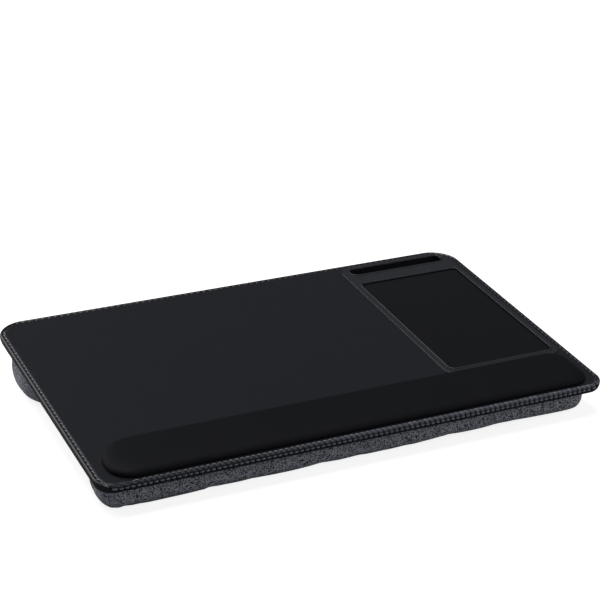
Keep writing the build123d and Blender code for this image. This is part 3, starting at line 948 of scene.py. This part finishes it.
rear_box = -289 * mm, 290 * mm, 72 * mm, 183 * mm
front_box = -290.5 * mm, 285.5 * mm, -177 * mm, -103 * mm
rear_cushion = cushion_start("rear_cushion", rear_box, 44 * mm, 15 * mm, 0)
fill_bag(rear_cushion, 6 * mm)
front_cushion = cushion_start("front_cushion", front_box, 22 * mm, 7 * mm, 4 * mm)
fill_bag(front_cushion, 2 * mm)
for cushion, nodes in (
    (rear_cushion, ("rear_cushion_cover", "rear_cushion_fill")),
    (front_cushion, ("front_cushion_cover", "front_cushion_fill")),
):
    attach(cushion, "root")
    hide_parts(*nodes)


# Centre panel: a thin padded stretch of the same fabric between the two cushions, so that the knees
# touch no board. It has a soft edge and lies a little uneven over its wadding.
panel_low, panel_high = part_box("centre_panel_cover")
panel_box = panel_low.x, panel_high.x, -101 * mm, 68.5 * mm
panel_height = 6 * mm
panel_radii = [12 * mm] * 4
panel_spread, panel_spacing = 0.16, 6 * mm
panel_turns = (0, 12, 26, 40, 54, 66, 74, 80, 83, 85.5, 87.5)
half_panel = (panel_box[3] - panel_box[2]) / 2
panel_outline = drawn_in(panel_box, panel_radii, 0)
panel_rings = []
for turn in panel_turns:
    angle = math.radians(turn)
    inset = half_panel * (1 - math.cos(angle) ** panel_spread)
    level = backing_level - panel_height * math.sin(angle)
    ring = []
    for spot in divided(drawn_in(panel_box, panel_radii, inset), panel_outline, panel_spacing):
        swell = ripple(spot, 0.6 * mm, 30 * mm, 20 * mm, 8.3) * math.sin(angle)
        ring.append((spot.x, spot.y, level + swell))
    panel_rings.append(ring)
shell = bmesh.new()
add_rings(shell, panel_rings, capped=True)
centre_panel = finish_piece("centre_panel", shell, heather)
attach(centre_panel, "root")
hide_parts("centre_panel_cover", "centre_panel_wadding")


# Camera: a long lens from the front left, looking down on the deck
camera_place = (-784.5 * mm, -1711 * mm, 902.2 * mm)
camera_azimuth, camera_elevation, camera_roll = -24.816, 22.612, 0.121
camera_lens = 108.07
azimuth, elevation = math.radians(camera_azimuth), math.radians(camera_elevation)
backwards = Vector((
    math.sin(azimuth) * math.cos(elevation),
    -math.cos(azimuth) * math.cos(elevation),
    math.sin(elevation),
))
camera = add_object("camera", bpy.data.cameras.new("camera"))
camera.data.lens = camera_lens
camera.data.sensor_width = 36
camera.matrix_world = (
    Matrix.Translation(camera_place)
    @ (-backwards).to_track_quat("-Z", "Y").to_matrix().to_4x4()
    @ Matrix.Rotation(math.radians(camera_roll), 4, "Z")
)
bpy.context.scene.camera = camera


# Floor: a plain pale sweep that ends beyond every view. The camera sees it a little brighter than it
# is lit, so that it turns white and keeps a soft shadow under the tray.
floor_reach, floor_level = 20, -0.1 * mm
camera_glow, mirror_glow = 0.84, 0.08
floor_mesh = bpy.data.meshes.new("floor")
corners = [(x * floor_reach, y * floor_reach, floor_level) for x, y in ((-1, -1), (1, -1), (1, 1), (-1, 1))]
floor_mesh.from_pydata(corners, [], [(0, 1, 2, 3)])
floor = add_object("floor", floor_mesh)
painted, tree, shader, _ = start_material("matt_white_paint", Roughness=1.0, Specular_IOR_Level=0.0)
shader.inputs["Base Color"].default_value = linear("#b0b0b0")
shader.inputs["Emission Color"].default_value = linear("#ffffff")
ray = add_node(tree, "ShaderNodeLightPath", {}).outputs
glow = 0.0
for kind, strength in (
    ("Is Camera Ray", camera_glow),
    ("Is Glossy Ray", mirror_glow),
    ("Is Transmission Ray", mirror_glow),
):
    parts = {0: ray[kind], 1: strength, 2: glow}
    glow = add_node(tree, "ShaderNodeMath", parts, operation="MULTIPLY_ADD").outputs[0]
tree.links.new(glow, shader.inputs["Emission Strength"])
wear(floor, painted)


# Light: a soft overhead lamp, a box lamp from the back left that draws the rolled edge, and a weak one
# from the front right. A dim surround fills the shadows, and the camera sees it as white.
def add_sun(name, azimuth, elevation, strength, spread):
    """Soft distant lamp; its azimuth is where it stands, turned from the back towards the left."""
    lamp = bpy.data.lights.new(name, "SUN")
    lamp.energy = strength
    lamp.angle = math.radians(spread)
    turn, rise = math.radians(azimuth), math.radians(elevation)
    towards = Vector((-math.sin(turn) * math.cos(rise), math.cos(turn) * math.cos(rise), math.sin(rise)))
    sun = add_object(name, lamp)
    sun.rotation_mode = "QUATERNION"
    sun.rotation_quaternion = towards.to_track_quat("Z", "Y")


def add_softbox(name, place, size, power):
    """Square soft lamp that faces the tray."""
    lamp = bpy.data.lights.new(name, "AREA")
    lamp.energy = power
    lamp.size = size
    turn = Vector(place).to_track_quat("Z", "Y").to_matrix().to_4x4()
    add_object(name, lamp).matrix_world = Matrix.Translation(place) @ turn


surround_strength, surround_mirror = 0.1, 0.04
add_sun("overhead_lamp", 20, 78, 2.1, 35)
add_softbox("edge_lamp", (-0.9, 1.1, 0.85), 0.9, 9)
add_softbox("front_lamp", (1.5, -1.5, 1.4), 1.9, 14)
world = bpy.data.worlds.new("studio")
world.use_nodes = True
tree = world.node_tree
dim = tree.nodes["Background"]
dim.inputs["Color"].default_value = linear("#dfe6ff")
dim.inputs["Strength"].default_value = surround_strength
white = add_node(tree, "ShaderNodeBackground", {"Color": linear("#ffffff"), "Strength": 1.0})
ray = add_node(tree, "ShaderNodeLightPath", {}).outputs
seen = 0.0
for kind, strength in (
    ("Is Camera Ray", 1.0),
    ("Is Transmission Ray", 1.0),
    ("Is Glossy Ray", surround_mirror),
):
    parts = {0: ray[kind], 1: strength, 2: seen}
    seen = add_node(tree, "ShaderNodeMath", parts, operation="MULTIPLY_ADD").outputs[0]
surround = add_node(tree, "ShaderNodeMixShader", {0: seen, 1: dim.outputs[0], 2: white.outputs[0]})
tree.links.new(surround.outputs[0], tree.nodes["World Output"].inputs["Surface"])
bpy.context.scene.world = world
bpy.context.scene.view_settings.view_transform = "Standard"
